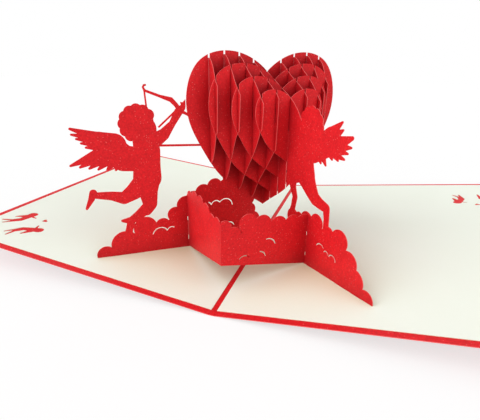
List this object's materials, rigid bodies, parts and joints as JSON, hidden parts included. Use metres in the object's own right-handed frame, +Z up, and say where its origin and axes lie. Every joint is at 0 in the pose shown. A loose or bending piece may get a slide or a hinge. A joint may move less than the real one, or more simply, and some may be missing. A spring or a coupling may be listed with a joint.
{
  "type": "pop up card",
  "caption": "Opened pop-up greeting card: red cover with cream liners, two winged archers on clouds and a slotted heart.",
  "frame": {"origin": "middle of the spine's underside", "axes": "+X to the right panel, +Y to the back edge along the spine, +Z up"},
  "size_m": [0.3004, 0.2, 0.1095],
  "materials": {
    "red_card": "pearl card with fine glitter specks",
    "cream_paper": "smooth uncoated paper"
  },
  "bodies": {
    "root": {"cover": "red_card", "cross_slice_left_1": "red_card", "cross_slice_left_2": "red_card", "cross_slice_left_3": "red_card", "cross_slice_left_4": "red_card", "cross_slice_right_1": "red_card", "cross_slice_right_2": "red_card", "cross_slice_right_3": "red_card", "cross_slice_right_4": "red_card", "front_cloud_wall": "red_card", "left_cupid_sheet": "red_card", "left_liner": "cream_paper", "long_slice_back_1": "red_card", "long_slice_back_2": "red_card", "long_slice_back_3": "red_card", "long_slice_front_1": "red_card", "long_slice_front_2": "red_card", "long_slice_front_3": "red_card", "right_cupid_sheet": "red_card", "right_liner": "cream_paper"}
  },
  "joints": []
}
